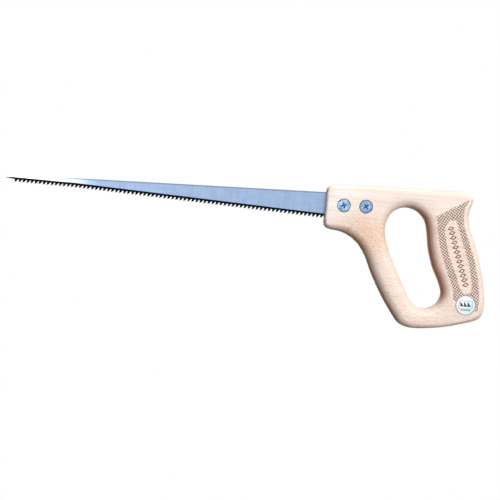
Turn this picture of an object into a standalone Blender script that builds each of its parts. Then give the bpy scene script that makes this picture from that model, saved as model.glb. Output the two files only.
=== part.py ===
"""Compass saw: a tapered blade held in a closed beech handle by two screws with sleeve nuts.

Metres, +Z up. The origin is the middle of the grip. The blade points along -X with its back up, the
handle is at +X, and the heads of the screws face -Y. The middle of the blade's thickness is y = 0.
"""

import math

import bmesh
import bpy
from mathutils import Matrix, Vector
from mathutils.geometry import interpolate_bezier

MM = 0.001
WELD_DISTANCE = 0.005 * MM

# Handle: a board of even thickness
HANDLE_THICKNESS = 23 * MM
HALF_HANDLE = HANDLE_THICKNESS / 2
CURVE_STEPS = 4  # straight pieces between two points of an outline
ROUND_STEPS = 3  # straight pieces across a rounded edge

# The handle's outline, clockwise from the top of the nose: x, z and the radius of the rounded edge
HANDLE_OUTLINE = (
    (-124.0, 60.0, 2.5), (-122.4, 64.1, 2.5), (-117.4, 66.2, 3.0), (-108.0, 66.6, 4.0),
    (-60.0, 66.5, 4.0), (-10.0, 66.1, 4.0), (4.0, 65.7, 4.0), (9.0, 63.8, 3.5),
    (11.8, 59.9, 3.0), (11.2, 55.0, 3.5), (9.3, 48.5, 4.0), (8.7, 41.5, 4.5),
    (10.1, 32.0, 5.0), (14.9, 19.5, 5.0), (20.7, 2.0, 5.0), (25.0, -16.0, 5.0),
    (27.2, -34.0, 5.0), (26.8, -43.0, 5.0), (24.4, -49.6, 4.5), (18.0, -53.4, 4.0),
    (8.5, -56.2, 3.5), (-8.0, -60.1, 3.5), (-22.0, -62.0, 4.0), (-34.0, -62.9, 4.5),
    (-43.3, -62.3, 5.5), (-50.4, -59.2, 6.5), (-56.0, -52.5, 7.0), (-66.9, -35.7, 7.5),
    (-77.5, -15.8, 7.5), (-86.3, 4.2, 7.5), (-94.1, 14.5, 7.0), (-104.2, 21.4, 6.5),
    (-112.3, 23.8, 5.5), (-119.8, 25.0, 4.5), (-124.2, 27.6, 3.5), (-125.1, 31.8, 2.8),
    (-124.6, 44.0, 2.5),
)  # in millimetres

# The hand hole, clockwise from its top: x, z and the radius of the rounded edge
HAND_HOLE = (
    (-47.5, 48.9, 7.0), (-38.0, 45.5, 7.0), (-31.0, 37.8, 7.5), (-28.1, 27.0, 7.5),
    (-26.2, 13.0, 7.5), (-21.6, -4.0, 7.5), (-14.4, -20.0, 7.5), (-12.0, -30.0, 7.5),
    (-16.2, -39.3, 7.5), (-26.9, -44.4, 7.0), (-38.0, -41.2, 7.0), (-46.7, -27.5, 7.5),
    (-56.0, -9.0, 7.5), (-63.9, 9.0, 7.5), (-68.1, 27.0, 7.5), (-64.3, 41.0, 7.0),
    (-56.8, 47.0, 7.0),
)  # in millimetres

# Blade
NOSE_X = -124.3 * MM  # where the blade leaves the handle
BLADE_LENGTH = 300 * MM  # from the nose to the tip
BLADE_THICKNESS = 1.2 * MM
BACK_Z = 59.1 * MM
TIP_X = NOSE_X - BLADE_LENGTH
TIP_DROP = 2.9 * MM  # the point lies this far below the back
TIP_FACE = (0.5 * MM, 2.0 * MM)  # top of the short end face: back from the tip, down from the back
TIP_SLOPE = 5 * MM  # length over which the back comes down to the tip
TOOTH_COUNT = 78
TOOTH_PITCH = 3.78 * MM
TOOTH_DEPTH = 2.75 * MM
TOOTH_RAKE = math.radians(10)  # how far the front of a tooth is undercut
GULLET_WIDTH = 0.5 * MM
HEEL_TOOTH_X = NOSE_X - 0.9 * MM
# The blade's height down to the tooth points, at distances from the heel tooth
TOOTH_LINE = ((0.0, 24.7 * MM), (235 * MM, 9.0 * MM), (292 * MM, 6.7 * MM))
TANG_END_X = -79 * MM
TANG_LOW_Z = 37.6 * MM
TANG_CORNER = 4 * MM
TANG_START_X = NOSE_X + 2 * MM

# Kerf, sawn into the nose by a round cutter
GAP = 0.3 * MM
KERF_WIDTH = BLADE_THICKNESS + 2 * GAP
KERF_CUTTER_RADIUS = 60 * MM
KERF_CUTTER_CENTRE = (-135 * MM, 45 * MM)

# Screws and sleeve nuts, with heights measured outwards from the handle's middle plane
SCREW_PLACES = {"front": -108 * MM, "rear": -87.5 * MM}  # x of each axis
SCREW_Z = 47 * MM
CROSS_ANGLES = {"front": math.radians(12), "rear": math.radians(38)}
HEAD_RADIUS = 6 * MM
HEAD_SEAT = HALF_HANDLE - 1.5 * MM  # under side of the head
HEAD_RIM = HALF_HANDLE + 0.4 * MM
HEAD_TOP = HALF_HANDLE + 1.0 * MM
HEAD_CHAMFER = 0.3 * MM
DOME_STEPS = 4
SHANK_RADIUS = 2.3 * MM
SHANK_LENGTH = 17 * MM
THREAD_PITCH = 0.8 * MM
THREAD_DEPTH = 0.35 * MM
THREAD_TURNS = 10
BARREL_RADIUS = 3.5 * MM
BARREL_LENGTH = 16 * MM
BARREL_BORE = SHANK_RADIUS + GAP
BARREL_FLOOR = 8 * MM  # end of the blind bore
RECESS_WIDTH = 1.1 * MM
RECESS_LENGTH = 5.4 * MM
RECESS_DEPTH = 1.7 * MM
SLOT_WIDTH = 1.3 * MM
SLOT_LENGTH = 2.2 * HEAD_RADIUS
CUTTER_REACH = 4 * MM  # how far a cutter stands out of the wood
TURNED_STEPS = 24

# Label
LABEL_RADIUS = 9.3 * MM
LABEL_THICKNESS = 0.2 * MM
LABEL_GAP = 0.1 * MM
LABEL_PLACE = (9.6 * MM, -39.4 * MM)


def clear_scene():
    for item in list(bpy.data.objects):
        bpy.data.objects.remove(item, do_unlink=True)


def new_collection(name):
    collection = bpy.data.collections.new(name)
    bpy.context.scene.collection.children.link(collection)
    return collection


def material(name, colour, roughness, metallic=0.0):
    made = bpy.data.materials.new(name)
    made.use_nodes = True
    shader = made.node_tree.nodes["Principled BSDF"]
    shader.inputs["Base Color"].default_value = (*colour, 1.0)
    shader.inputs["Roughness"].default_value = roughness
    shader.inputs["Metallic"].default_value = metallic
    made.diffuse_color = (*colour, 1.0)
    return made


def add_object(name, mesh, collection, finish=None):
    thing = bpy.data.objects.new(name, mesh)
    collection.objects.link(thing)
    if finish:
        mesh.materials.append(finish)
    return thing


def as_cutter(thing):
    thing.hide_render = True
    thing.display_type = "WIRE"
    return thing


def cut(thing, cutter):
    boolean = thing.modifiers.new(cutter.name, "BOOLEAN")
    boolean.operation = "DIFFERENCE"
    boolean.solver = "EXACT"
    boolean.object = cutter


def smooth_shading(mesh, angle=30):
    mesh.shade_smooth()
    mesh.set_sharp_from_angle(angle=math.radians(angle))


# ---------------------------------------------------------------- handle


def smooth_loop(controls):
    """A closed smooth curve through the control points (x, z, edge radius), in metres."""
    points = [Vector(point) * MM for point in controls]
    count = len(points)
    slopes = []
    for here in range(count):
        slopes.append((points[(here + 1) % count] - points[here - 1]).normalized())
    curve = []
    for here in range(count):
        start = points[here]
        end = points[(here + 1) % count]
        reach = (end - start).length / 3
        leave = start + slopes[here] * reach
        arrive = end - slopes[(here + 1) % count] * reach
        curve += interpolate_bezier(start, leave, arrive, end, CURVE_STEPS + 1)[:-1]
    return curve


def side_normals(curve, turn):
    """Unit normals into the wood: turn is 1 where the wood is on the right of the curve."""
    normals = []
    count = len(curve)
    for here in range(count):
        along = (curve[(here + 1) % count] - curve[here - 1]).to_2d().normalized()
        normals.append(Vector((along.y, -along.x)) * turn)
    return normals


def edge_ring(bm, curve, normals, side, share):
    """One ring of the rounded edge: share runs from 0 on the wall to 1 on the flat face."""
    angle = share * math.pi / 2
    ring = []
    for point, normal in zip(curve, normals):
        radius = point.z
        place = point.to_2d() + normal * radius * (1 - math.cos(angle))
        depth = HALF_HANDLE - radius * (1 - math.sin(angle))
        ring.append(bm.verts.new((place.x, side * depth, place.y)))
    return ring


def rounded_wall(bm, curve, turn):
    """The wall with both rounded edges, whose radius changes along the curve; gives the two end rings."""
    normals = side_normals(curve, turn)
    shares = [step / ROUND_STEPS for step in range(ROUND_STEPS + 1)]
    rings = [edge_ring(bm, curve, normals, -1, share) for share in reversed(shares)]
    rings += [edge_ring(bm, curve, normals, 1, share) for share in shares]
    for near, far in zip(rings, rings[1:]):
        for here in range(len(curve)):
            after = (here + 1) % len(curve)
            bm.faces.new((near[here], near[after], far[after], far[here]))
    return rings[0], rings[-1]


def ring_edges(bm, ring):
    return [bm.edges.get((ring[here - 1], ring[here])) for here in range(len(ring))]


def make_handle(collection, cutters, wood):
    bm = bmesh.new()
    outer_rings = rounded_wall(bm, smooth_loop(HANDLE_OUTLINE), 1)
    hole_rings = rounded_wall(bm, smooth_loop(HAND_HOLE), -1)
    for outer, hole in zip(outer_rings, hole_rings):
        edges = ring_edges(bm, outer) + ring_edges(bm, hole)
        bmesh.ops.triangle_fill(bm, edges=edges, use_beauty=True)
    bmesh.ops.recalc_face_normals(bm, faces=bm.faces)
    mesh = bpy.data.meshes.new("handle")
    bm.to_mesh(mesh)
    bm.free()
    smooth_shading(mesh)
    handle = add_object("handle", mesh, collection, wood)
    cut(handle, make_kerf_cutter(cutters))
    for place in SCREW_PLACES:
        cut(handle, make_bore_cutter(place, cutters))
    return handle


def make_kerf_cutter(cutters):
    bm = bmesh.new()
    bmesh.ops.create_cone(
        bm,
        cap_ends=True,
        segments=96,
        radius1=KERF_CUTTER_RADIUS,
        radius2=KERF_CUTTER_RADIUS,
        depth=KERF_WIDTH,
        matrix=Matrix.Rotation(math.pi / 2, 4, "X"),
    )
    mesh = bpy.data.meshes.new("kerf_cut")
    bm.to_mesh(mesh)
    bm.free()
    cutter = as_cutter(add_object("kerf_cut", mesh, cutters))
    cutter.location = (KERF_CUTTER_CENTRE[0], 0, KERF_CUTTER_CENTRE[1])
    return cutter


# ---------------------------------------------------------------- turned pieces


def turned(name, profile, collection, finish=None):
    """A solid of revolution; the profile's points are (radius, distance outwards from y = 0)."""
    mesh = bpy.data.meshes.new(name)
    edges = [(here, here + 1) for here in range(len(profile) - 1)]
    mesh.from_pydata([(radius, 0, height) for radius, height in profile], edges, [])
    thing = add_object(name, mesh, collection, finish)
    screw = thing.modifiers.new("turn", "SCREW")
    screw.axis = "Z"
    screw.angle = 2 * math.pi
    screw.steps = TURNED_STEPS
    screw.render_steps = TURNED_STEPS
    screw.use_merge_vertices = True
    screw.merge_threshold = WELD_DISTANCE
    screw.use_smooth_shade = True
    return thing


def place_turned(thing, place, side):
    """Lays the turning axis along Y at one of the screw places, its outer end on the given side."""
    thing.location = (SCREW_PLACES[place], 0, SCREW_Z)
    thing.rotation_euler = (-side * math.pi / 2, 0, 0)


def make_bore_cutter(place, cutters):
    """A through hole for the barrel with a counterbore for the head on both faces."""
    beyond = HALF_HANDLE + CUTTER_REACH
    seat = HEAD_SEAT - GAP
    profile = (
        (0, beyond), (HEAD_RADIUS + GAP, beyond), (HEAD_RADIUS + GAP, seat),
        (BARREL_RADIUS + GAP, seat), (BARREL_RADIUS + GAP, -seat),
        (HEAD_RADIUS + GAP, -seat), (HEAD_RADIUS + GAP, -beyond), (0, -beyond),
    )
    cutter = as_cutter(turned(place + "_bore_cut", profile, cutters))
    place_turned(cutter, place, 1)
    return cutter


def head_profile():
    """The domed head from the middle of its top to its under side."""
    rise = HEAD_TOP - HEAD_RIM
    flat = HEAD_RADIUS - HEAD_CHAMFER
    dome = []
    for step in range(DOME_STEPS + 1):
        radius = flat * step / DOME_STEPS
        dome.append((radius, HEAD_RIM + rise * (1 - (radius / flat) ** 2)))
    return dome + [(HEAD_RADIUS, HEAD_RIM - HEAD_CHAMFER), (HEAD_RADIUS, HEAD_SEAT)]


def thread_profile(top):
    """Ridges down the shank, each one pitch below the last."""
    ridges = []
    for turn in range(THREAD_TURNS):
        height = top - turn * THREAD_PITCH
        ridges.append((SHANK_RADIUS, height))
        ridges.append((SHANK_RADIUS - THREAD_DEPTH, height - THREAD_PITCH / 2))
    return ridges


def box_cutter(name, size, cutters):
    bm = bmesh.new()
    bmesh.ops.create_cube(bm, size=1.0, matrix=Matrix.Diagonal((*size, 1.0)))
    mesh = bpy.data.meshes.new(name)
    bm.to_mesh(mesh)
    bm.free()
    return as_cutter(add_object(name, mesh, cutters))


def make_screw(place, collection, cutters, steel):
    end = HEAD_SEAT - SHANK_LENGTH
    thread_top = end + (THREAD_TURNS + 0.5) * THREAD_PITCH
    profile = head_profile() + [(SHANK_RADIUS, HEAD_SEAT)] + thread_profile(thread_top)
    profile += [(SHANK_RADIUS - THREAD_DEPTH, end), (0, end)]
    screw = turned(place + "_screw", profile, collection, steel)
    place_turned(screw, place, -1)
    recess_middle = HEAD_TOP - RECESS_DEPTH / 2 + RECESS_WIDTH / 2
    arm = (RECESS_LENGTH, RECESS_DEPTH + RECESS_WIDTH, RECESS_WIDTH)
    for turn in range(2):
        cutter = box_cutter(f"{place}_recess_{turn}", arm, cutters)
        cutter.location = (SCREW_PLACES[place], -recess_middle, SCREW_Z)
        cutter.rotation_euler = (0, CROSS_ANGLES[place] + turn * math.pi / 2, 0)
        cut(screw, cutter)
    return screw


def make_nut(place, collection, cutters, steel):
    open_end = HEAD_SEAT - BARREL_LENGTH
    profile = head_profile() + [
        (BARREL_RADIUS, HEAD_SEAT), (BARREL_RADIUS, open_end), (BARREL_BORE, open_end),
        (BARREL_BORE, BARREL_FLOOR), (0, BARREL_FLOOR),
    ]
    nut = turned(place + "_nut", profile, collection, steel)
    place_turned(nut, place, 1)
    slot = (SLOT_LENGTH, 2 * RECESS_WIDTH, SLOT_WIDTH)
    cutter = box_cutter(place + "_slot", slot, cutters)
    cutter.location = (SCREW_PLACES[place], HEAD_TOP, SCREW_Z)
    cutter.rotation_euler = (0, -CROSS_ANGLES[place], 0)
    cut(nut, cutter)
    return nut


# ---------------------------------------------------------------- blade


def blade_height(distance):
    """Height from the back to the tooth points at a distance from the heel tooth."""
    for (near, high), (far, low) in zip(TOOTH_LINE, TOOTH_LINE[1:]):
        if distance <= far:
            return high + (low - high) * (distance - near) / (far - near)
    return TOOTH_LINE[-1][1]


def tooth_points():
    """The toothed edge from the heel to the tip: gullet, gullet, point for each tooth."""
    points = []
    undercut = TOOTH_DEPTH * math.tan(TOOTH_RAKE)
    for tooth in range(TOOTH_COUNT):
        distance = tooth * TOOTH_PITCH
        x = HEEL_TOOTH_X - distance
        z = BACK_Z - blade_height(distance)
        points.append((x, z))
        points.append((x + undercut, z + TOOTH_DEPTH))
        points.append((x + undercut - GULLET_WIDTH, z + TOOTH_DEPTH))
    return points


def blade_outline():
    """Clockwise seen from -Y: back, tang, then the toothed edge forward to the tip."""
    points = [(TIP_X, BACK_Z - TIP_DROP), (TIP_X + TIP_FACE[0], BACK_Z - TIP_FACE[1])]
    points.append((TIP_X + TIP_SLOPE, BACK_Z))
    points += [(TANG_END_X - TANG_CORNER, BACK_Z), (TANG_END_X, BACK_Z - TANG_CORNER)]
    points += [(TANG_END_X, TANG_LOW_Z + TANG_CORNER), (TANG_END_X - TANG_CORNER, TANG_LOW_Z)]
    points.append((TANG_START_X, TANG_LOW_Z))
    return points + tooth_points()


def circle_points(centre_x, centre_z, radius, count=32):
    angles = [2 * math.pi * step / count for step in range(count)]
    return [(centre_x + radius * math.cos(a), centre_z + radius * math.sin(a)) for a in angles]


def make_blade(collection, steel):
    curve = bpy.data.curves.new("blade", "CURVE")
    curve.dimensions = "2D"
    curve.fill_mode = "BOTH"
    curve.extrude = BLADE_THICKNESS / 2
    loops = [blade_outline()]
    for x in SCREW_PLACES.values():
        loops.append(circle_points(x, SCREW_Z, BARREL_RADIUS + GAP))
    for loop in loops:
        spline = curve.splines.new("POLY")
        spline.points.add(len(loop) - 1)
        for point, (x, z) in zip(spline.points, loop):
            point.co = (x, z, 0, 1)
        spline.use_cyclic_u = True
    drawn = bpy.data.objects.new("blade_outline", curve)
    collection.objects.link(drawn)
    drawn.rotation_euler = (math.pi / 2, 0, 0)
    bpy.context.view_layer.update()
    graph = bpy.context.evaluated_depsgraph_get()
    mesh = bpy.data.meshes.new_from_object(drawn.evaluated_get(graph))
    mesh.name = "blade"
    bm = bmesh.new()
    bm.from_mesh(mesh)
    bmesh.ops.remove_doubles(bm, verts=bm.verts, dist=WELD_DISTANCE)
    bmesh.ops.recalc_face_normals(bm, faces=bm.faces)
    bm.to_mesh(mesh)
    bm.free()
    mesh.materials.clear()
    blade = add_object("blade", mesh, collection, steel)
    blade.matrix_world = drawn.matrix_world
    bpy.data.objects.remove(drawn, do_unlink=True)
    return blade


# ---------------------------------------------------------------- label


def make_label(collection, paper):
    bm = bmesh.new()
    bmesh.ops.create_cone(
        bm,
        cap_ends=True,
        segments=48,
        radius1=LABEL_RADIUS,
        radius2=LABEL_RADIUS,
        depth=LABEL_THICKNESS,
        matrix=Matrix.Rotation(math.pi / 2, 4, "X"),
    )
    mesh = bpy.data.meshes.new("label")
    bm.to_mesh(mesh)
    bm.free()
    smooth_shading(mesh)
    label = add_object("label", mesh, collection, paper)
    outside = HALF_HANDLE + LABEL_GAP + LABEL_THICKNESS / 2
    label.location = (LABEL_PLACE[0], -outside, LABEL_PLACE[1])
    return label


def main():
    clear_scene()
    saw = new_collection("compass_saw")
    cutters = new_collection("cutters")
    beech = material("beech", (0.80, 0.58, 0.42), 0.5)
    blade_steel = material("blade_steel", (0.52, 0.57, 0.66), 0.32, 1.0)
    plated_steel = material("plated_steel", (0.60, 0.66, 0.76), 0.28, 1.0)
    paper = material("label_paper", (0.86, 0.93, 0.95), 0.35)
    make_handle(saw, cutters, beech)
    make_blade(saw, blade_steel)
    for place in SCREW_PLACES:
        make_screw(place, saw, cutters, plated_steel)
        make_nut(place, saw, cutters, plated_steel)
    make_label(saw, paper)


main()
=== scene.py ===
"""Looks of a compass saw: a tapered blade in a closed beech handle, with screws and sleeve nuts.

Metres, +Z up. The blade points along -X, its back is up, and the heads of the screws face -Y.
Outlines are written in millimetres and scaled once, where they are drawn.
"""

import math

import bmesh
import bpy
import numpy as np
from mathutils import Matrix, Vector
from mathutils.geometry import delaunay_2d_cdt, interpolate_bezier


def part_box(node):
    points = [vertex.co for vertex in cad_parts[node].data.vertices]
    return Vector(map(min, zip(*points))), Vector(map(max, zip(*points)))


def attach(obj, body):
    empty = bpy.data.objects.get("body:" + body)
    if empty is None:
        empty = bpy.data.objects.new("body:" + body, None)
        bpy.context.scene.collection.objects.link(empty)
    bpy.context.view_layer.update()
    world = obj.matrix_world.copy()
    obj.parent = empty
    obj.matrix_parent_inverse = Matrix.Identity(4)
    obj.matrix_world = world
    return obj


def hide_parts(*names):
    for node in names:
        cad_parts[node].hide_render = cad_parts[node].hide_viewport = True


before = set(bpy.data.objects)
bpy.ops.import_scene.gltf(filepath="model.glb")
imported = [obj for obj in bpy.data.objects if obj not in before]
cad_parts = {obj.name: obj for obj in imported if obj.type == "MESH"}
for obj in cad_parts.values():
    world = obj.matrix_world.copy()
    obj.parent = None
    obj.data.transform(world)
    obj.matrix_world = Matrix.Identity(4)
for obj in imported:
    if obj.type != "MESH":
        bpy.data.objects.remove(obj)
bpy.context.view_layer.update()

MM = 0.001
SAME_POINT = 0.01  # millimetres
SMOOTH = 30  # degrees between two faces, over which the edge between them is sharp
STEEL_SMOOTH = 12  # the same on the blade
SIDES = (-1, 1)  # the near side faces -Y

# Handle, in millimetres
HALF_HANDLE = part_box("handle")[1].y / MM
CURVE_STEPS = 10  # straight pieces between two points of an outline
ROUND_STEPS = 9  # straight pieces across a rounded edge
EDGE_FLATNESS = 0.3  # 0 for a round edge, 1 for a plain chamfer
OUTSIDE_EDGE_SHADE = 0.6  # strength of the painted shade on the rounded edges outside, where they face down or the blade
HOLE_EDGE_SHADE = 1.0  # strength of the same painted shade round the hand hole
BORE_BREAK = 0.2  # broken edge of each counterbore

# The handle's outline, clockwise from the top of the nose: x, z and the radius of the rounded edge
HANDLE_OUTLINE = (
    (-124.0, 60.0, 2.5), (-122.4, 64.1, 2.5), (-117.4, 66.2, 3.0), (-108.0, 66.6, 4.0),
    (-60.0, 66.5, 4.0), (-10.0, 66.1, 4.0), (4.0, 65.7, 4.0), (9.0, 63.8, 3.5),
    (11.8, 59.9, 3.0), (11.2, 55.0, 3.5), (9.3, 48.5, 4.0), (8.7, 41.5, 4.4),
    (10.1, 32.0, 4.4), (14.9, 19.5, 4.4), (20.7, 2.0, 4.4), (25.0, -16.0, 4.4),
    (27.2, -34.0, 4.4), (26.8, -43.0, 4.4), (24.4, -49.6, 4.4), (18.0, -53.4, 4.0),
    (8.5, -56.2, 3.5), (-8.0, -60.1, 3.5), (-22.0, -62.0, 4.0), (-34.0, -62.9, 4.5),
    (-43.3, -62.3, 5.5), (-50.4, -59.2, 6.5), (-56.0, -52.5, 7.0), (-66.9, -35.7, 7.5),
    (-77.5, -15.8, 7.5), (-86.3, 4.2, 7.5), (-94.1, 14.5, 7.0), (-104.2, 21.4, 6.5),
    (-112.3, 23.8, 5.5), (-119.8, 25.0, 4.5), (-124.2, 27.6, 3.5), (-125.1, 31.8, 2.8),
    (-124.6, 44.0, 2.5),
)

# The hand hole, clockwise from its top: x, z and the radius of the rounded edge
HAND_HOLE = (
    (-47.5, 48.9, 7.0), (-38.0, 45.5, 7.0), (-31.0, 37.8, 7.5), (-28.1, 27.0, 7.5),
    (-26.2, 13.0, 7.5), (-21.6, -4.0, 7.5), (-14.4, -20.0, 7.5), (-12.0, -30.0, 7.5),
    (-16.2, -39.3, 7.5), (-26.9, -44.4, 7.0), (-38.0, -41.2, 7.0), (-46.7, -27.5, 7.5),
    (-56.0, -9.0, 7.5), (-63.9, 9.0, 7.5), (-68.1, 27.0, 7.5), (-64.3, 41.0, 7.0),
    (-56.8, 47.0, 7.0),
)

# Checkering pressed into both faces of the grip: its border and the plain panel in its middle
CHECKER_BORDER = (
    (-22.4, 41.2), (7.6, 58.6), (5.8, 53.0), (3.6, 47.9), (3.6, 41.7), (4.2, 35.6),
    (5.6, 29.8), (7.2, 26.0), (9.2, 21.0), (11.0, 15.0), (13.6, 7.9), (15.9, 1.2),
    (17.3, -4.4), (18.8, -10.6), (20.2, -17.0), (21.0, -23.5), (21.6, -29.5), (21.8, -37.0),
    (21.2, -41.2), (20.6, -45.4), (-2.4, -34.4), (-2.9, -27.6), (-4.3, -22.1), (-7.1, -15.2),
    (-9.6, -9.0), (-12.0, -3.0), (-14.4, 4.2), (-17.4, 14.0), (-18.5, 18.5), (-19.9, 27.7),
    (-20.6, 33.0),
)
PANEL_OUTLINE = (
    (-5.8, 38.5), (-3.0, 36.6), (-0.6, 29.6), (3.0, 20.0), (6.6, 9.3), (10.1, -1.6),
    (12.9, -13.2), (14.0, -20.5), (13.2, -26.0), (10.0, -28.6), (6.0, -26.6), (3.0, -22.2),
    (0.2, -14.0), (-4.6, -2.4), (-9.0, 9.5), (-11.6, 20.0), (-13.2, 29.0), (-11.6, 35.6),
)
PANEL_STEPS = 3
CHECKER_PITCH = 2.1
CHECKER_TURN = math.radians(57.2)
GROOVE_DEPTH = 0.34
GROOVE_HALF_WIDTH = 0.47
LINE_BURN = 0.55  # scorch along a groove, where it is 1 at a crossing
BORDER_RAMP = 0.2  # width over which the grooves run out at the border

# Row of pressed lozenges down the panel
LOZENGE_ROW = ((-8.0, 31.2), (8.4, -20.2))  # middle of the first and of the last
LOZENGE_COUNT = 13
LOZENGE_HALF = (1.55, 2.55)  # half the length along the row, and across it
PRESS_HALF_WIDTH = 0.65  # half the width of each pressed line
PRESS_DEPTH = 0.3

# Screws and sleeve nuts, in millimetres outwards from the handle's middle plane
SCREW_X = {"front": -108.0, "rear": -87.5}
SCREW_Z = 47.0
CROSS_ANGLES = {"front": math.radians(12), "rear": math.radians(38)}
HEAD_RADIUS = 6.0
HEAD_SEAT = HALF_HANDLE - 1.5
HEAD_RIM = HALF_HANDLE + 0.4
HEAD_TOP = HALF_HANDLE + 1.0
HEAD_CHAMFER = 0.6
DOME_STEPS = 12
RECESS_SIZE = (5.6, 1.2, 1.9)  # length, width and depth of each arm pair of the cross
RECESS_TAPER = (1.18, 0.45)  # share of the length above the head, and at the bottom
SLOT_WIDTH = 1.3
SLOT_DEPTH = 1.2
SHANK_RADIUS = 2.3
SHANK_LENGTH = 17.0
THREAD_PITCH = 0.8
THREAD_DEPTH = 0.35
THREAD_TURNS = 10
BARREL_RADIUS = 3.5
BARREL_LENGTH = 16.0
BARREL_FLOOR = 8.0
GAP = 0.3
TURNED_STEPS = 72
BORE_STEPS = 64

# Blade, in millimetres
NOSE_X = -124.3
BLADE_THICKNESS = 1.2
BACK_Z = 59.1
TIP_X = NOSE_X - 300.0
TIP_DROP = 2.9
TIP_FACE = (0.5, 2.0)
TIP_SLOPE = 5.0
TOOTH_COUNT = 78
TOOTH_PITCH = 3.78
TOOTH_DEPTH = 2.75

# One tooth from its back to its front: x past its point, share of its depth above its point
TOOTH_BACK = ((3.05, 0.82), (1.8, 0.27))
TOOTH_FRONT = ((0.45, 0.86), (0.25, 1.0), (-0.3, 1.0))
HEEL_TOOTH_X = NOSE_X - 0.9
TOOTH_LINE = ((0.0, 24.7), (235.0, 9.0), (292.0, 6.7))
TOOTH_SET = 0.3  # sideways bend of each tooth point
FILED_BACK = 0.25  # how far the inner corner of a point is filed back
FILED_UP = 0.3  # and up
TANG_END_X = -79.0
TANG_LOW_Z = 37.6
TANG_CORNER = 4.0
TANG_START_X = NOSE_X + 2.0
KERF_RADIUS = 60.0
KERF_CENTRE = (-135.0, 45.0)
KERF_STEPS = 180
HARD_BAND = 4.5  # height of the black band above the tooth points
PAINTED_HIGHLIGHT_TIP = (-335.0, -385.0)  # x between which a painted highlight turns the steel near white

# Label
LABEL_RADIUS = 9.3
LABEL_THICKNESS = 0.2
LABEL_GAP = 0.1
LABEL_PLACE = (9.5, -39.0)
LABEL_TOOTH = (3.3, 4.8)  # width and height of one printed tooth
LABEL_DASH = 2.4  # from one printed dash to the next
LABEL_PRINT_HALF = (5.1, 6.1)  # half the width of the row of teeth, and of its frame
LABEL_RULE_Z = -4.4
LABEL_STEPS = 96

# Camera and light
CAMERA_PLACE = (-0.1925, -1.0, 0.001)
CAMERA_ROLL = math.radians(3.2)
HALF_VIEW = 0.234  # half the width of the view at one metre
FLOOR_Z = -0.6
FLOOR_RADIUS = 1.4

# The room's light: its level, how it grows towards each axis, then the x between which the left
# goes dark and the z between which the lower side does
MATT_ROOM = (1.02, Vector((-0.8, -1.62, 0.4)), (-0.54, -0.12), (-0.45, -0.15))
MIRROR_ROOM = (0.61, Vector((-0.2, -1.08, 0.72)), (-0.5, -0.27), (-1.2, -1.1))
ROOM_BEHIND = 8.5  # a small bright patch behind the saw, for the far side
ROOM_DARKEST = 0.02
TIP_CARD_PLACE = (-1.0, -1.0, 0.0)
TIP_CARD_SIZE = (0.54, 1.2)
TIP_CARD_POWER = 9.0


def tone(red, green, blue):
    """A colour given by its display values from 0 to 255, as the linear light that shaders take."""
    shares = [channel / 255 for channel in (red, green, blue)]
    return tuple(s / 12.92 if s <= 0.04045 else ((s + 0.055) / 1.055) ** 2.4 for s in shares)


# ---------------------------------------------------------------- shader helpers


class Value:
    """One output of a node; arithmetic on it adds Math nodes to the same tree."""

    def __init__(self, nodes, socket):
        self.nodes = nodes
        self.socket = socket

    def maths(self, operation, *values):
        return self.nodes.add("ShaderNodeMath", {"operation": operation}, dict(enumerate(values)))

    def __add__(self, other):
        return self.maths("ADD", self, other)

    def __radd__(self, other):
        return self.maths("ADD", other, self)

    def __sub__(self, other):
        return self.maths("SUBTRACT", self, other)

    def __rsub__(self, other):
        return self.maths("SUBTRACT", other, self)

    def __mul__(self, other):
        return self.maths("MULTIPLY", self, other)

    def __rmul__(self, other):
        return self.maths("MULTIPLY", other, self)

    def __truediv__(self, other):
        return self.maths("DIVIDE", self, other)

    def __abs__(self):
        return self.maths("ABSOLUTE", self)

    def __pow__(self, power):
        return self.maths("POWER", self, power)


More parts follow.
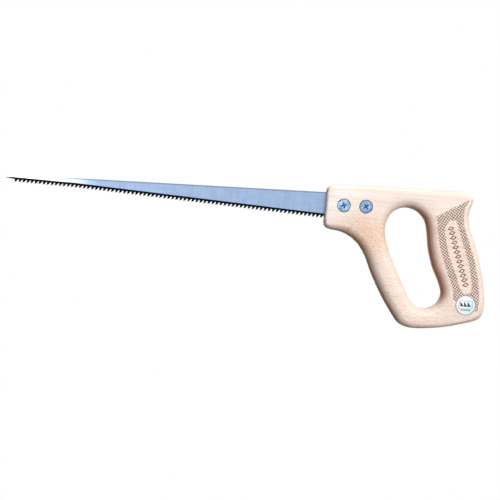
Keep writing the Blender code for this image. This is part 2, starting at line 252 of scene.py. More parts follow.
class Nodes:
    """Adds nodes to one node tree."""

    def __init__(self, tree):
        self.tree = tree

    def feed(self, socket, value):
        if isinstance(value, Value):
            self.tree.links.new(value.socket, socket)
        elif socket.type == "RGBA" and len(value) == 3:
            socket.default_value = (*value, 1.0)
        else:
            socket.default_value = value

    def add(self, kind, settings=None, values=None, output=0):
        """Adds a node; output is the name or number of the one to use, or None for all of them."""
        node = self.tree.nodes.new(kind)
        for name, setting in (settings or {}).items():
            if name == "stops":
                self.set_stops(node.color_ramp, setting)
            else:
                setattr(node, name, setting)
        for name, value in (values or {}).items():
            self.feed(node.inputs[name], value)
        if output is None:
            return [Value(self, socket) for socket in node.outputs]
        return Value(self, node.outputs[output])

    def set_stops(self, ramp, stops):
        while len(ramp.elements) < len(stops):
            ramp.elements.new(1.0)
        for element, (place, colour) in zip(ramp.elements, stops):
            element.position = place
            element.color = (*colour, 1.0)

    def place(self):
        return self.add("ShaderNodeTexCoord", output="Object")

    def axes(self, vector):
        return self.add("ShaderNodeSeparateXYZ", values={0: vector}, output=None)

    def stretched(self, vector, scale, turn=0.0):
        """The vector turned about Y and scaled on each axis, in repeats per metre."""
        turned = {"Vector": vector, "Rotation": (0, turn, 0), "Scale": scale}
        return self.add("ShaderNodeMapping", values=turned)

    def noise(self, vector, detail=3.0, roughness=0.5, distortion=0.0):
        values = {"Vector": vector, "Scale": 1.0, "Detail": detail, "Roughness": roughness}
        values["Distortion"] = distortion
        return self.add("ShaderNodeTexNoise", values=values)

    def rise(self, value, low, high):
        """Runs smoothly from 0 at low to 1 at high; with low above high it falls instead."""
        values = {"Value": value, "From Min": low, "From Max": high}
        return self.add("ShaderNodeMapRange", {"interpolation_type": "SMOOTHSTEP"}, values)

    def mix(self, factor, first, second, blend="MIX"):
        settings = {"data_type": "RGBA", "blend_type": blend}
        return self.add("ShaderNodeMix", settings, {0: factor, 6: first, 7: second}, output=2)

    def attribute(self, name):
        return self.add("ShaderNodeAttribute", {"attribute_name": name}, output="Fac")

    def bump(self, height, distance, strength=1.0):
        values = {"Height": height, "Distance": distance, "Strength": strength}
        return self.add("ShaderNodeBump", values=values)


class Finish(Nodes):
    """A material with one Principled shader."""

    def __init__(self, name):
        self.material = bpy.data.materials.new(name)
        self.material.use_nodes = True
        super().__init__(self.material.node_tree)

    def surface(self, **values):
        """Feeds the shader's sockets, named with _ for each space."""
        shader = self.tree.nodes["Principled BSDF"]
        for name, value in values.items():
            self.feed(shader.inputs[name.replace("_", " ")], value)
        return self.material


# ---------------------------------------------------------------- finishes


def beech_finish():
    """Lacquered beech: pale bands, dark flecks along X, scorched pressed grooves, painted light on the top
    and nose, and painted shade on the rounded edges that face down or the blade.
    """
    finish = Finish("beech")
    place = finish.place()
    x, _, z = finish.axes(place)
    bands = finish.noise(finish.stretched(place, (5, 60, 55)), 3.0, 0.55, 0.4)
    lines = finish.noise(finish.stretched(place, (14, 420, 420), math.radians(4)), 3.0, 0.6, 0.3)
    flecks = finish.noise(finish.stretched(place, (300, 1200, 1100), math.radians(9)), 2.0, 0.6)
    short_flecks = finish.noise(finish.stretched(place, (480, 2000, 1900), math.radians(-5)), 1.0)
    fleck_marks = finish.rise(flecks, 0.54, 0.68)
    short_marks = finish.rise(short_flecks, 0.56, 0.7)
    # Painted light: the top and the nose are mixed towards near white, and fewer flecks show under it.
    painted_light_top = finish.rise(z - 0.12 * x, 0.026, 0.062)
    painted_light_nose = finish.rise(z - 0.9 * x, 0.118, 0.166)
    peach_middle = finish.rise(abs(x + 0.09) + abs(z - 0.022), 0.056, 0.01)
    wood = finish.mix(bands, tone(246, 228, 217), tone(252, 237, 229))
    wood = finish.mix(peach_middle * 0.8, wood, tone(248, 216, 190))
    wood = finish.mix(painted_light_top * 0.7, wood, tone(253, 241, 232))
    wood = finish.mix(painted_light_nose * 0.85, wood, tone(254, 252, 248))
    wood = finish.mix(finish.rise(lines, 0.45, 0.7) * 0.42, wood, tone(234, 198, 174))
    painted_light_calm = 1 - 0.7 * painted_light_top
    wood = finish.mix(fleck_marks * painted_light_calm * (0.32 + 0.4 * peach_middle), wood, tone(204, 146, 108))
    wood = finish.mix(short_marks * painted_light_calm * (0.42 + 0.3 * peach_middle), wood, tone(184, 124, 92))
    # Painted shade: the rounded edges facing down or the blade are multiplied browner and darker.
    routed = finish.rise(finish.attribute("routed"), 0.0, 0.85)
    wood = finish.mix(routed, wood, tone(190, 142, 106), "MULTIPLY")
    burn = finish.attribute("burn")
    scorch = finish.rise(burn, 0.12, 0.9)
    wood = finish.mix(scorch, wood, tone(102, 48, 22))
    grain = lines * 0.5 + fleck_marks * -0.6 + short_marks * -0.4
    return finish.surface(
        Base_Color=wood,
        Roughness=0.5 + 0.1 * lines + 0.2 * scorch,
        Specular_IOR_Level=0.2,
        Normal=finish.bump(grain, 0.00005, 0.5),
    )


def blade_finish():
    """Ground spring steel with cross brush marks, hardened black at the teeth, a painted highlight whitening
    the tip and painted shade in a thin line under the back.
    """
    finish = Finish("blade_steel")
    place = finish.place()
    x, _, z = finish.axes(place)
    above = finish.attribute("above_points")
    brushed = finish.noise(finish.stretched(place, (420, 300, 60)), 3.0, 0.6)
    mottle = finish.noise(finish.stretched(place, (90, 90, 160)), 4.0, 0.6)
    streaks = finish.noise(finish.stretched(place, (22, 300, 420)), 3.0, 0.6)
    edge = above + 0.35 * (mottle - 0.5)
    hard = finish.rise(edge, HARD_BAND + 0.15, HARD_BAND - 0.15)
    steel = finish.mix(mottle, tone(119, 139, 168), tone(143, 163, 190))
    steel = finish.mix(finish.rise(brushed, 0.5, 0.75) * 0.4, steel, tone(104, 122, 150))
    steel = finish.mix(finish.rise(streaks, 0.55, 0.75) * 0.35, steel, tone(160, 176, 198))
    # Painted shade: a thin dark line just under the back edge.
    below_back = finish.rise(z, (BACK_Z - 1.6) * MM, (BACK_Z - 0.8) * MM)
    painted_back_edge_shade = below_back * finish.rise(z, (BACK_Z - 0.05) * MM, (BACK_Z - 0.4) * MM)
    # Painted highlight: the steel whitens towards the tip.
    painted_highlight_tip = finish.rise(x, PAINTED_HIGHLIGHT_TIP[0] * MM, PAINTED_HIGHLIGHT_TIP[1] * MM)
    steel = finish.mix(painted_highlight_tip * 0.9, steel, tone(240, 244, 250))
    steel = finish.mix(painted_back_edge_shade * 0.6, steel, tone(80, 90, 108))
    return finish.surface(
        Base_Color=finish.mix(hard, steel, tone(12, 13, 17)),
        Metallic=1.0,
        Roughness=0.3 + 0.12 * brushed + 0.15 * hard,
        Normal=finish.bump(brushed, 0.00002, 0.35),
    )


def plated_finish():
    """Blue-white zinc plating, mottled, with painted shade in the driver recess, round the rim of each head
    and over the rear screw and nut.
    """
    finish = Finish("plated_steel")
    place = finish.place()
    x, y, z = finish.axes(place)
    front = abs(x - SCREW_X["front"] * MM)
    rear = abs(x - SCREW_X["rear"] * MM)
    off_axis = front.maths("MINIMUM", front, rear) / MM
    up = (z - SCREW_Z * MM) / MM
    radius = (off_axis * off_axis + up * up) ** 0.5
    outwards = abs(y) / MM
    # Painted shade in the driver recess and the slot.
    recess = finish.rise(outwards, HEAD_RIM + 0.1, HEAD_RIM - 0.4) * finish.rise(radius, 3.4, 3.1)
    recess = recess * finish.rise(outwards, HEAD_SEAT + 0.1, HEAD_SEAT + 0.2)
    # Painted shade round the rim of each head.
    rim = finish.rise(radius, HEAD_RADIUS - 0.7, HEAD_RADIUS - 0.2)
    cloud = finish.noise(finish.stretched(place, (420, 420, 420)), 3.0, 0.6)
    turned_marks = finish.noise(finish.stretched(place, (900, 900, 900)), 2.0)
    plating = finish.mix(finish.rise(cloud, 0.35, 0.65), tone(96, 126, 164), tone(160, 190, 214))
    # Painted shade: the rear screw and nut, past x = -0.095 m, are a little darker.
    plating = finish.mix(finish.rise(x, -0.1, -0.095) * 0.35, plating, tone(84, 116, 160))
    plating = finish.mix(rim * 0.7, plating, tone(50, 64, 84))
    plating = finish.mix(recess * 0.8, plating, tone(16, 26, 46))
    return finish.surface(
        Base_Color=plating,
        Metallic=1.0,
        Roughness=0.22 + 0.16 * cloud,
        Normal=finish.bump(turned_marks, 0.00004, 0.4),
    )


def label_finish():
    """A round coated label: grey rim, a framed dark saw-tooth line and a thin teal rule."""
    finish = Finish("label_paper")
    x, _, z = finish.axes(finish.place())
    across = x / MM
    up = z / MM
    from_middle = (across * across + up * up) ** 0.5
    rim = finish.rise(from_middle, LABEL_RADIUS - 0.9, LABEL_RADIUS - 0.5)
    paper = finish.mix(finish.rise(across, -6.0, 5.0), tone(252, 254, 255), tone(220, 246, 250))
    cell = across / LABEL_TOOTH[0] + 20.5
    share = cell.maths("FRACT", cell)
    below_slope = finish.rise(up - LABEL_TOOTH[1] * (1 - share) + 1.2, 0.25, -0.25)
    teeth = below_slope * finish.rise(up, -1.45, -1.05)
    in_frame = finish.rise(abs(across), LABEL_PRINT_HALF[0], LABEL_PRINT_HALF[0] - 0.3)
    frame_gap = abs(up - 0.5).maths("MAXIMUM", abs(up - 0.5) * 1.7, abs(across))
    frame_line = finish.rise(abs(frame_gap - LABEL_PRINT_HALF[1]), 0.45, 0.2)
    dash = across / LABEL_DASH + 20.0
    dashes = finish.rise(abs(dash.maths("FRACT", dash) - 0.5), 0.42, 0.3)
    rule = finish.rise(abs(up - LABEL_RULE_Z), 0.75, 0.45) * finish.rise(abs(across), 5.3, 4.9) * dashes
    ink = finish.mix(frame_line * 0.75, paper, tone(96, 116, 138))
    ink = finish.mix(teeth * in_frame, ink, tone(8, 12, 30))
    ink = finish.mix(rule, ink, tone(44, 92, 110))
    ink = finish.mix(rim * 0.9, ink, tone(120, 130, 136))
    return finish.surface(Base_Color=ink, Roughness=0.3, Coat_Weight=0.3, Coat_Roughness=0.1)


# ---------------------------------------------------------------- meshes


def piece(name, bm, finish, body, node, smooth=SMOOTH):
    """Finishes a piece: one mesh in the frame's axes, riding on its body in place of its CAD node."""
    bmesh.ops.recalc_face_normals(bm, faces=bm.faces)
    mesh = bpy.data.meshes.new(name)
    bm.to_mesh(mesh)
    bm.free()
    mesh.shade_smooth()
    mesh.set_sharp_from_angle(angle=math.radians(smooth))
    mesh.materials.append(finish)
    thing = bpy.data.objects.new(name, mesh)
    bpy.context.scene.collection.objects.link(thing)
    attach(thing, body)
    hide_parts(node)
    return thing


def smooth_loop(controls, steps=CURVE_STEPS):
    """A closed smooth curve through the control points (x, z, edge radius)."""
    points = [Vector(point) for point in controls]
    count = len(points)
    slopes = []
    for here in range(count):
        slopes.append((points[(here + 1) % count] - points[here - 1]).normalized())
    curve = []
    for here in range(count):
        start = points[here]
        end = points[(here + 1) % count]
        reach = (end - start).length / 3
        leave = start + slopes[here] * reach
        arrive = end - slopes[(here + 1) % count] * reach
        curve += interpolate_bezier(start, leave, arrive, end, steps + 1)[:-1]
    return curve


def side_normals(curve, turn):
    """Unit normals into the wood: turn is 1 where the wood is on the right of the curve."""
    normals = []
    count = len(curve)
    for here in range(count):
        along = (curve[(here + 1) % count] - curve[here - 1]).to_2d().normalized()
        normals.append(Vector((along.y, -along.x)) * turn)
    return normals


def circle(centre, radius, count):
    """Points round a circle in the XZ plane."""
    angles = [2 * math.pi * step / count for step in range(count)]
    return [Vector((centre[0] + radius * math.cos(a), centre[1] + radius * math.sin(a))) for a in angles]


def new_ring(bm, points, depth):
    """Vertices at the points (x, z), all at one depth."""
    return [bm.verts.new((point[0] * MM, depth * MM, point[1] * MM)) for point in points]


def bridge(bm, near, far):
    """Faces between two closed rings of equal length."""
    for here in range(len(near)):
        after = (here + 1) % len(near)
        bm.faces.new((near[here], near[after], far[after], far[here]))


def inside(points, loop):
    """Whether each point lies within the closed loop, by counting the crossings of a ray."""
    x = points[:, 0, None]
    z = points[:, 1, None]
    start = np.asarray(loop, float)[:, :2]
    end = np.roll(start, -1, axis=0)
    straddles = (start[:, 1] > z) != (end[:, 1] > z)
    rise = np.where(end[:, 1] == start[:, 1], 1.0, end[:, 1] - start[:, 1])
    crossing = start[:, 0] + (z - start[:, 1]) * (end[:, 0] - start[:, 0]) / rise
    return (straddles & (x < crossing)).sum(axis=1) % 2 == 1


def closed_edges(first, count):
    return [(first + here, first + (here + 1) % count) for here in range(count)]


class Drawing:
    """Lines drawn on a flat face, in millimetres."""

    def __init__(self):
        self.points = []
        self.edges = []

    def loop(self, points):
        first = len(self.points)
        self.points += [(point[0], point[1]) for point in points]
        self.edges += closed_edges(first, len(points))

    def line(self, start, end):
        first = len(self.points)
        self.points += [start, end]
        self.edges.append((first, first + 1))


def numbered(points, drawing):
    """Adds the drawing's points and gives the number of each, which may be one that is there already."""
    on_rings = np.array([tuple(point) for point in points])
    numbers = []
    for point in drawing.points:
        gaps = np.abs(on_rings - point).max(axis=1)
        if gaps.min() < SAME_POINT:
            numbers.append(int(gaps.argmin()))
        else:
            numbers.append(len(points))
            points.append(Vector(point))
    return numbers


def fill_face(bm, outer, holes, drawing, new_vertex):
    """Triangulates the flat area between rings of vertices, following the drawing's lines."""
    rings = [outer, *holes]
    known = [vertex for ring in rings for vertex in ring]
    points = [Vector((vertex.co.x / MM, vertex.co.z / MM)) for vertex in known]
    edges = []
    first = 0
    for ring in rings:
        edges += closed_edges(first, len(ring))
        first += len(ring)
    numbers = numbered(points, drawing)
    edges += [(numbers[start], numbers[end]) for start, end in drawing.edges]
    places, _, faces, origins, _, _ = delaunay_2d_cdt(points, edges, [], 0, 1e-4, True)
    vertices = []
    for place, sources in zip(places, origins):
        known_sources = [source for source in sources if source < len(known)]
        vertices.append(known[known_sources[0]] if known_sources else new_vertex(place.x, place.y))
    flat = np.array([(place.x, place.y) for place in places])
    middles = flat[np.array(faces)].mean(axis=1)
    wanted = np.ones(len(faces), bool)
    for number, ring in enumerate(rings):
        loop = [(vertex.co.x / MM, vertex.co.z / MM) for vertex in ring]
        wanted &= inside(middles, loop) == (number == 0)
    made = []
    for face, keep in zip(faces, wanted):
        corners = [vertices[corner] for corner in face]
        if keep and len(set(corners)) == 3:
            made.append(bm.faces.new(corners))
    for vertex in vertices:
        if not vertex.link_faces:
            bm.verts.remove(vertex)
    return made


def solid_from(bm, name):
    """A loose helper object from a mesh, for a cut."""
    bmesh.ops.recalc_face_normals(bm, faces=bm.faces)
    mesh = bpy.data.meshes.new(name)
    bm.to_mesh(mesh)
    bm.free()
    helper = bpy.data.objects.new(name, mesh)
    bpy.context.scene.collection.objects.link(helper)
    return helper


def carved(bm, cutters):
    """The mesh with the cutters taken away, as a new bmesh; the cutters are removed."""
    body = solid_from(bm, "carved")
    for cutter in cutters:
        boolean = body.modifiers.new(cutter.name, "BOOLEAN")
        boolean.operation = "DIFFERENCE"
        boolean.solver = "EXACT"
        boolean.object = cutter
    bpy.context.view_layer.update()
    result = bmesh.new()
    result.from_mesh(body.evaluated_get(bpy.context.evaluated_depsgraph_get()).to_mesh())
    for helper in [body, *cutters]:
        bpy.data.objects.remove(helper, do_unlink=True)
    return result


# ---------------------------------------------------------------- handle


def edge_ring(bm, curve, normals, side, share, edge_shade_strength):
    """One ring of the rounded edge: share runs from 0 on the wall to 1 on the flat face.

    Its vertex value is painted shade, strongest on the wall and where the edge faces down or the blade.
    """
    routed = bm.verts.layers.float["routed"]
    angle = share * math.pi / 2
    inwards = (1 - EDGE_FLATNESS) * (1 - math.cos(angle)) + EDGE_FLATNESS * share
    lower = (1 - EDGE_FLATNESS) * (1 - math.sin(angle)) + EDGE_FLATNESS * (1 - share)
    ring = []
    for point, normal in zip(curve, normals):
        place = point.to_2d() + normal * point.z * inwards
        depth = side * (HALF_HANDLE - point.z * lower)
        ring.append(bm.verts.new((place.x * MM, depth * MM, place.y * MM)))
        # Painted shade, set on each vertex of the rounded edge.
        ring[-1][routed] = edge_shade_strength * (1 - share) * max(0.0, 0.85 * normal.x + 0.45 * normal.y)
    return ring


def rounded_wall(bm, curve, turn, edge_shade_strength):
    """The wall with both rounded edges; gives the ring on the near face and on the far face."""
    normals = side_normals(curve, turn)
    shares = [step / ROUND_STEPS for step in range(ROUND_STEPS + 1)]
    rings = [edge_ring(bm, curve, normals, -1, share, edge_shade_strength) for share in reversed(shares)]
    rings += [edge_ring(bm, curve, normals, 1, share, edge_shade_strength) for share in shares]
    for near, far in zip(rings, rings[1:]):
        bridge(bm, near, far)
    return rings[0], rings[-1]


def bore_rings(bm, x):
    """A bore with a counterbore on both faces; gives the ring on the near and on the far face."""
    wide = HEAD_RADIUS + GAP
    seat = HEAD_SEAT - GAP
    steps = (
        (wide + BORE_BREAK, -HALF_HANDLE), (wide, -HALF_HANDLE + BORE_BREAK), (wide, -seat),
        (BARREL_RADIUS + GAP, -seat), (BARREL_RADIUS + GAP, seat),
        (wide, seat), (wide, HALF_HANDLE - BORE_BREAK), (wide + BORE_BREAK, HALF_HANDLE),
    )
    rings = []
    for radius, depth in steps:
        rings.append(new_ring(bm, circle((x, SCREW_Z), radius, BORE_STEPS), depth))
    for near, far in zip(rings, rings[1:]):
        bridge(bm, near, far)
    return rings[0], rings[-1]


def offset_loop(loop, distance):
    """The loop moved to its right by the distance."""
    moved = []
    for here, point in enumerate(loop):
        before = (point - loop[here - 1]).normalized()
        after = (loop[(here + 1) % len(loop)] - point).normalized()
        normal = Vector((before.y + after.y, -before.x - after.x)).normalized()
        stretch = max(0.6, normal.dot(Vector((after.y, -after.x))))
        moved.append(point + normal * distance / stretch)
    return moved


def checker_axes(x, z):
    """Distances across the two sets of grooves, in pitches."""
    across = x * math.cos(CHECKER_TURN) + z * math.sin(CHECKER_TURN)
    along = z * math.cos(CHECKER_TURN) - x * math.sin(CHECKER_TURN)
    return across / CHECKER_PITCH, along / CHECKER_PITCH


def checker_place(across, along):
    x = across * math.cos(CHECKER_TURN) - along * math.sin(CHECKER_TURN)
    z = across * math.sin(CHECKER_TURN) + along * math.cos(CHECKER_TURN)
    return x * CHECKER_PITCH, z * CHECKER_PITCH


def crossings(start, end, loops):
    """Shares along a line at which it crosses the loops."""
    along = np.subtract(end, start)
    shares = []
    for loop in loops:
        corners = np.asarray(loop, float)
        sides = np.roll(corners, -1, axis=0) - corners
        cross = along[0] * sides[:, 1] - along[1] * sides[:, 0]
        cross = np.where(cross == 0, 1e-12, cross)
        gap = corners - start
        share = (gap[:, 0] * sides[:, 1] - gap[:, 1] * sides[:, 0]) / cross
        reach = (gap[:, 0] * along[1] - gap[:, 1] * along[0]) / cross
        shares += [s for s, r in zip(share, reach) if 0 < s < 1 and 0 <= r < 1]
    return sorted(shares)


def clipped(drawing, start, end, border, panel):
    """Draws what part of the line lies between the border and the panel."""
    shares = [0.0, *crossings(start, end, (border, panel)), 1.0]
    for low, high in zip(shares, shares[1:]):
        middle = np.add(start, np.subtract(end, start) * (low + high) / 2)[None, :]
        if high - low > 1e-6 and inside(middle, border)[0] and not inside(middle, panel)[0]:
            ends = [tuple(np.add(start, np.subtract(end, start) * share)) for share in (low, high)]
            drawing.line(*ends)


def lozenge(middle, along, scale):
    """The four corners of a lozenge whose long half lies across the row."""
    across = Vector((-along.y, along.x))
    half_length = LOZENGE_HALF[0] + scale
    half_width = LOZENGE_HALF[1] + scale * LOZENGE_HALF[1] / LOZENGE_HALF[0]
    return [
        middle + along * half_length, middle + across * half_width,
        middle - along * half_length, middle - across * half_width,
    ]


def lozenge_middles():
    start, end = (Vector(point) for point in LOZENGE_ROW)
    along = (end - start).normalized()
    return [start.lerp(end, number / (LOZENGE_COUNT - 1)) for number in range(LOZENGE_COUNT)], along


class Relief:
    """The pressed pattern on the grip: its lines, and how deep it is at any point."""

    def __init__(self):
        self.border = [Vector(point) for point in CHECKER_BORDER]
        panel = [(x, z, 0) for x, z in PANEL_OUTLINE]
        self.panel = [point.to_2d() for point in smooth_loop(panel, PANEL_STEPS)]
        self.inner_border = offset_loop(self.border, BORDER_RAMP)
        self.outer_panel = offset_loop(self.panel, -BORDER_RAMP)
        self.lozenges, self.row = lozenge_middles()
        self.drawing = Drawing()
        for loop in (self.border, self.inner_border, self.panel, self.outer_panel):
            self.drawing.loop(loop)
        self.draw_checkering()
        for middle in self.lozenges:
            for scale in (-PRESS_HALF_WIDTH, 0, PRESS_HALF_WIDTH):
                self.drawing.loop(lozenge(middle, self.row, scale))

    def draw_checkering(self):
        """Groove lines and the square top of each diamond, cut off at the border."""
        spans = [checker_axes(x, z) for x, z in CHECKER_BORDER]
        lows = [math.floor(min(span[axis] for span in spans)) for axis in (0, 1)]
        highs = [math.ceil(max(span[axis] for span in spans)) for axis in (0, 1)]
        inset = GROOVE_HALF_WIDTH / CHECKER_PITCH
        for i in range(lows[0], highs[0] + 1):
            for j in range(lows[1], highs[1] + 1):
                self.clip((i, j), (i + 1, j))
                self.clip((i, j), (i, j + 1))
                near = (i + inset, j + inset)
                far = (i + 1 - inset, j + 1 - inset)
                self.clip(near, (far[0], near[1]))
                self.clip((far[0], near[1]), far)
                self.clip(far, (near[0], far[1]))
                self.clip((near[0], far[1]), near)

    def clip(self, start, end):
        clipped(self.drawing, checker_place(*start), checker_place(*end), self.inner_border, self.outer_panel)

    def cut(self, x, z):
        """How deep and how scorched the checkering is, both from 0 to 1."""
        point = np.array([(x, z)])
        grown = offset_loop(self.inner_border, -0.02)
        shrunk = offset_loop(self.outer_panel, 0.02)
        if not inside(point, grown)[0] or inside(point, shrunk)[0]:
            return 0.0, 0.0
        gaps = [abs(value - round(value)) * CHECKER_PITCH for value in checker_axes(x, z)]
        grooves = [max(0.0, 1 - gap / GROOVE_HALF_WIDTH) for gap in gaps]
        return max(grooves), LINE_BURN * max(grooves) + (1 - LINE_BURN) * min(grooves)

    def pressed(self, x, z):
        """How far the surface is pressed in, from 0 to 1, by the row of lozenges."""
        point = Vector((x, z))
        across = Vector((-self.row.y, self.row.x))
        depth = 0.0
        for middle in self.lozenges:
            gap = point - middle
            shape = LOZENGE_HALF[0] / LOZENGE_HALF[1]
            off = abs(gap.dot(self.row)) + abs(gap.dot(across)) * shape - LOZENGE_HALF[0]
            depth = max(depth, 1 - abs(off) / PRESS_HALF_WIDTH)
        return depth


def make_handle(finish):
    """The beech handle with rounded edges, both bores, the checkering on both faces and the kerf."""
    bm = bmesh.new()
    bm.verts.layers.float.new("routed")
    burn = bm.verts.layers.float.new("burn")
    outer = rounded_wall(bm, smooth_loop(HANDLE_OUTLINE), 1, OUTSIDE_EDGE_SHADE)
    hole = rounded_wall(bm, smooth_loop(HAND_HOLE), -1, HOLE_EDGE_SHADE)
    bores = [bore_rings(bm, x) for x in SCREW_X.values()]
    relief = Relief()
    for number, side in enumerate(SIDES):

        def pressed_vertex(x, z):
            cut, scorch = relief.cut(x, z)
            pressed = relief.pressed(x, z)
            depth = max(cut * GROOVE_DEPTH, pressed * PRESS_DEPTH)
            vertex = bm.verts.new((x * MM, side * (HALF_HANDLE - depth) * MM, z * MM))
            vertex[burn] = max(scorch, 1.6 * pressed)
            return vertex

        holes = [hole[number]] + [bore[number] for bore in bores]
        fill_face(bm, outer[number], holes, relief.drawing, pressed_vertex)
    bmesh.ops.recalc_face_normals(bm, faces=bm.faces)
    carved_wood = carved(bm, [kerf_cutter()])
    return piece("beech_handle", carved_wood, finish, "handle", "handle")


def kerf_cutter():
    bm = bmesh.new()
    bmesh.ops.create_cone(
        bm,
        cap_ends=True,
        segments=KERF_STEPS,
        radius1=KERF_RADIUS * MM,
        radius2=KERF_RADIUS * MM,
        depth=(BLADE_THICKNESS + 2 * GAP) * MM,
        matrix=Matrix.Rotation(math.pi / 2, 4, "X"),
    )
    bmesh.ops.translate(bm, verts=bm.verts, vec=(KERF_CENTRE[0] * MM, 0, KERF_CENTRE[1] * MM))
    return solid_from(bm, "kerf")


# ---------------------------------------------------------------- blade


def blade_height(distance):
    """Height from the back to the tooth points at a distance from the heel tooth."""
    for (near, high), (far, low) in zip(TOOTH_LINE, TOOTH_LINE[1:]):
        if distance <= far:
            return high + (low - high) * (distance - near) / (far - near)
    return TOOTH_LINE[-1][1]


def above_points(x, z):
    """Height above the line of the tooth points."""
    distance = max(0.0, HEEL_TOOTH_X - x)
    return z - (BACK_Z - blade_height(distance))


def tooth_points(side):
    """The corners of each tooth, from its back to its front, with (x, z, sideways bend), on one side."""
    teeth = []
    for number in range(TOOTH_COUNT):
        x = HEEL_TOOTH_X - number * TOOTH_PITCH
        z = BACK_Z - blade_height(number * TOOTH_PITCH)
        towards = -1 if number % 2 else 1
        filed = 0 if towards == side else 1
        back = TOOTH_BACK if number else ()
        corners = [(x + off, z + share * TOOTH_DEPTH, share) for off, share in back]
        corners.append((x + filed * FILED_BACK, z + filed * FILED_UP, 0.0))
        corners += [(x + off, z + share * TOOTH_DEPTH, share) for off, share in TOOTH_FRONT]
        teeth.append([(px, pz, towards * TOOTH_SET * (1 - share)) for px, pz, share in corners])
    return teeth


def blade_outline(side):
    """Clockwise from the tip: end face, back with a point above each gullet, tang, teeth."""
    teeth = tooth_points(side)
    points = [(TIP_X, BACK_Z - TIP_DROP, 0), (TIP_X + TIP_FACE[0], BACK_Z - TIP_FACE[1], 0)]
    points.append((TIP_X + TIP_SLOPE, BACK_Z, 0))
    points += [(tooth[-1][0], BACK_Z, 0) for tooth in reversed(teeth)]
    points.append((TANG_START_X, BACK_Z, 0))
    points += [(TANG_END_X - TANG_CORNER, BACK_Z, 0), (TANG_END_X, BACK_Z - TANG_CORNER, 0)]
    points.append((TANG_END_X, TANG_LOW_Z + TANG_CORNER, 0))
    points.append((TANG_END_X - TANG_CORNER, TANG_LOW_Z, 0))
    points.append((TANG_START_X, TANG_LOW_Z, 0))
    return points + [corner for tooth in teeth for corner in tooth]


def blade_columns():
    """Lines from each gullet up to the back, and along the root of each tooth."""
    drawing = Drawing()
    teeth = tooth_points(1)
    for tooth in teeth:
        drawing.line(tooth[-1][:2], (tooth[-1][0], BACK_Z))
    drawing.line((TANG_START_X, TANG_LOW_Z), (TANG_START_X, BACK_Z))
    drawing.line((TANG_START_X, TANG_LOW_Z), teeth[0][-2][:2])
    for behind, ahead in zip(teeth, teeth[1:]):
        drawing.line(behind[-1][:2], ahead[-2][:2])
    return drawing


def make_blade(finish):
    """The blade with set and filed teeth; above_points on each vertex is its height over the points."""
    bm = bmesh.new()
    height = bm.verts.layers.float.new("above_points")
    columns = blade_columns()
    sides = []
    for side in SIDES:
        ring = []
        for x, z, bend in blade_outline(side):
            y = side * BLADE_THICKNESS / 2 + bend
            ring.append(bm.verts.new((x * MM, y * MM, z * MM)))
        holes = []
        for x in SCREW_X.values():
            points = circle((x, SCREW_Z), BARREL_RADIUS + GAP, BORE_STEPS)
            holes.append(new_ring(bm, points, side * BLADE_THICKNESS / 2))

        def face_vertex(x, z):
            return bm.verts.new((x * MM, side * BLADE_THICKNESS / 2 * MM, z * MM))

        fill_face(bm, ring, holes, columns, face_vertex)
        sides.append([ring, *holes])
    for near, far in zip(*sides):
        bridge(bm, near, far)
    for vertex in bm.verts:
        vertex[height] = above_points(vertex.co.x / MM, vertex.co.z / MM)
    return piece("toothed_blade", bm, finish, "handle", "blade", STEEL_SMOOTH)


# ---------------------------------------------------------------- fasteners and label


def turned(profile, steps=TURNED_STEPS):
    """A solid of revolution about Z; the profile's points are (radius, height)."""
    bm = bmesh.new()
    rings = []
    for radius, height in profile:
        if radius:
            ring = [bm.verts.new((p.x * MM, p.y * MM, height * MM)) for p in circle((0, 0), radius, steps)]
        else:
            ring = [bm.verts.new((0, 0, height * MM))]
        rings.append(ring)
    for upper, lower in zip(rings, rings[1:]):
        for here in range(steps):
            places = ((upper, here), (upper, here + 1), (lower, here + 1), (lower, here))
            corners = [ring[place % len(ring)] for ring, place in places]
            bm.faces.new(list(dict.fromkeys(corners)))
    return bm


def lay_down(bm, x, side):
    """Turns the axis of a turned piece to Y, its outer end on the given side, at one of the screw places."""
    turn = Matrix.Rotation(-side * math.pi / 2, 4, "X")
    bm.transform(Matrix.Translation((x * MM, 0, SCREW_Z * MM)) @ turn)


def head_profile():
    """The domed head from the middle of its top to its under side."""
    rise = HEAD_TOP - HEAD_RIM
    flat = HEAD_RADIUS - HEAD_CHAMFER
    shares = [step / DOME_STEPS for step in range(DOME_STEPS + 1)]
    dome = [(flat * share, HEAD_RIM + rise * (1 - share ** 2)) for share in shares]
    rim = [(HEAD_RADIUS - 0.15, HEAD_RIM - 0.2), (HEAD_RADIUS, HEAD_RIM - HEAD_CHAMFER)]
    return dome + rim + [(HEAD_RADIUS, HEAD_SEAT)]


def recess_cutter(angle):
    """A tapered cutter for one arm pair of the driver recess, its open end above the head."""
    bm = bmesh.new()
    long, wide, deep = RECESS_SIZE
    levels = zip((HEAD_TOP + 1.0, HEAD_TOP - deep), RECESS_TAPER)
    rings = []
    for height, share in levels:
        corners = [(1, 1), (-1, 1), (-1, -1), (1, -1)]
        half = (long / 2 * share, wide / 2 * (0.7 + 0.3 * share))
        rings.append([bm.verts.new((a * half[0] * MM, b * half[1] * MM, height * MM)) for a, b in corners])
    bridge(bm, *rings)
    for ring in rings:
        bm.faces.new(ring)
    bm.transform(Matrix.Rotation(angle, 4, "Z"))
    return bm


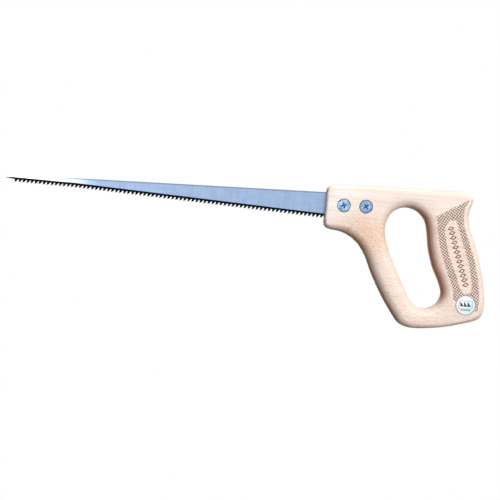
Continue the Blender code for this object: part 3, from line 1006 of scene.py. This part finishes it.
def make_screw(place, finish):
    end = HEAD_SEAT - SHANK_LENGTH
    thread_top = end + (THREAD_TURNS + 0.5) * THREAD_PITCH
    profile = head_profile() + [(SHANK_RADIUS, HEAD_SEAT)]
    for turn in range(THREAD_TURNS):
        profile.append((SHANK_RADIUS, thread_top - turn * THREAD_PITCH))
        profile.append((SHANK_RADIUS - THREAD_DEPTH, thread_top - (turn + 0.5) * THREAD_PITCH))
    profile += [(SHANK_RADIUS - THREAD_DEPTH, end), (0, end)]
    bm = turned(profile)
    cutters = []
    for quarter in range(2):
        arm = recess_cutter(CROSS_ANGLES[place] + quarter * math.pi / 2)
        cutters.append(solid_from(arm, f"recess_{quarter}"))
    bm = carved(bm, cutters)
    lay_down(bm, SCREW_X[place], -1)
    return piece(f"{place}_cross_screw", bm, finish, f"{place}_screw", f"{place}_screw")


def make_nut(place, finish):
    open_end = HEAD_SEAT - BARREL_LENGTH
    bore = SHANK_RADIUS + GAP
    profile = head_profile() + [
        (BARREL_RADIUS, HEAD_SEAT), (BARREL_RADIUS, open_end + 0.4), (BARREL_RADIUS - 0.4, open_end),
        (bore, open_end), (bore, BARREL_FLOOR), (0, BARREL_FLOOR),
    ]
    bm = turned(profile)
    slot = bmesh.new()
    size = (2.4 * HEAD_RADIUS * MM, SLOT_WIDTH * MM, 2 * SLOT_DEPTH * MM, 1)
    bmesh.ops.create_cube(slot, size=1.0, matrix=Matrix.Diagonal(size))
    slot.transform(Matrix.Translation((0, 0, HEAD_TOP * MM)))
    slot.transform(Matrix.Rotation(CROSS_ANGLES[place], 4, "Z"))
    bm = carved(bm, [solid_from(slot, "slot")])
    lay_down(bm, SCREW_X[place], 1)
    return piece(f"{place}_sleeve_nut", bm, finish, f"{place}_nut", f"{place}_nut")


def make_label(finish):
    """The round label; its own axes are at its middle, for the print."""
    back = HALF_HANDLE + LABEL_GAP
    front = back + LABEL_THICKNESS
    profile = (
        (0, front), (LABEL_RADIUS - 0.2, front), (LABEL_RADIUS - 0.05, front - 0.05),
        (LABEL_RADIUS, front - 0.12), (LABEL_RADIUS, back), (0, back),
    )
    bm = turned(profile, LABEL_STEPS)
    bm.transform(Matrix.Rotation(math.pi / 2, 4, "X"))
    label = piece("round_label", bm, finish, "handle", "label")
    label.location = (LABEL_PLACE[0] * MM, 0, LABEL_PLACE[1] * MM)
    return label


# ---------------------------------------------------------------- camera, light and floor


def make_camera():
    data = bpy.data.cameras.new("camera")
    data.angle = 2 * math.atan(HALF_VIEW)
    camera = bpy.data.objects.new("camera", data)
    bpy.context.scene.collection.objects.link(camera)
    turn = Matrix.Rotation(math.pi / 2, 4, "X") @ Matrix.Rotation(CAMERA_ROLL, 4, "Z")
    camera.matrix_world = Matrix.Translation(CAMERA_PLACE) @ turn
    bpy.context.scene.camera = camera


def light_room():
    """White to the camera; the light comes from the front, and is dim and warm on the left and below."""
    world = bpy.data.worlds.new("studio")
    world.use_nodes = True
    bpy.context.scene.world = world
    nodes = Nodes(world.node_tree)
    direction = nodes.add("ShaderNodeTexCoord", output="Generated")
    x, y, z = nodes.axes(direction)
    rooms = []
    for level, growth, dark_left, dark_below in (MATT_ROOM, MIRROR_ROOM):
        room = x * growth.x + y * growth.y + z * growth.z + level
        rooms.append(room * nodes.rise(x, *dark_left) * nodes.rise(z, *dark_below))
    mirrored = nodes.add("ShaderNodeLightPath", output="Is Glossy Ray")
    seen = nodes.add("ShaderNodeLightPath", output="Is Camera Ray")
    level = rooms[0] * (1 - mirrored) + rooms[1] * mirrored
    behind = nodes.rise(y, 0.94, 0.98) * (1 - mirrored) + nodes.rise(y, 0.3, 0.9) * mirrored * 0.12
    level = level.maths("MAXIMUM", level, behind * ROOM_BEHIND)
    level = level.maths("MAXIMUM", level, ROOM_DARKEST)
    background = world.node_tree.nodes["Background"]
    warmth = nodes.rise(level, 1.7, 0.2) * (1 - mirrored)
    light = nodes.mix(warmth, (1.0, 1.0, 1.0), (1.0, 0.76, 0.57))
    nodes.feed(background.inputs["Color"], nodes.mix(seen, light, (1.0, 1.0, 1.0)))
    nodes.feed(background.inputs["Strength"], level * (1 - seen) + seen)
    bpy.context.scene.view_settings.view_transform = "Standard"


def light_tip():
    """A tall card in front of the tip that shows only in the mirror of the steel."""
    data = bpy.data.lights.new("tip_card", "AREA")
    data.shape = "RECTANGLE"
    data.size, data.size_y = TIP_CARD_SIZE
    data.energy = TIP_CARD_POWER
    card = bpy.data.objects.new("tip_card", data)
    card.location = TIP_CARD_PLACE
    card.rotation_euler = (math.pi / 2, 0, 0)
    card.visible_diffuse = False
    card.visible_camera = False
    bpy.context.scene.collection.objects.link(card)


def make_floor():
    """A pale floor well below the saw."""
    bm = bmesh.new()
    bmesh.ops.create_circle(bm, cap_ends=True, segments=96, radius=FLOOR_RADIUS)
    mesh = bpy.data.meshes.new("floor")
    bm.to_mesh(mesh)
    bm.free()
    finish = Finish("pale_floor")
    finish.surface(
        Base_Color=(0.84, 0.88, 0.93),
        Roughness=0.9,
        Emission_Color=(1.0, 1.0, 1.0),
        Emission_Strength=0.22,
    )
    mesh.materials.append(finish.material)
    floor = bpy.data.objects.new("floor", mesh)
    floor.location = (CAMERA_PLACE[0], 0, FLOOR_Z)
    bpy.context.scene.collection.objects.link(floor)
    floor.visible_diffuse = False
    floor.visible_glossy = False
    floor.visible_shadow = False


def main():
    make_camera()
    light_room()
    light_tip()
    make_floor()
    beech = beech_finish()
    plated = plated_finish()
    make_handle(beech)
    make_blade(blade_finish())
    for place in SCREW_X:
        make_screw(place, plated)
        make_nut(place, plated)
    make_label(label_finish())
    bpy.context.view_layer.update()


main()
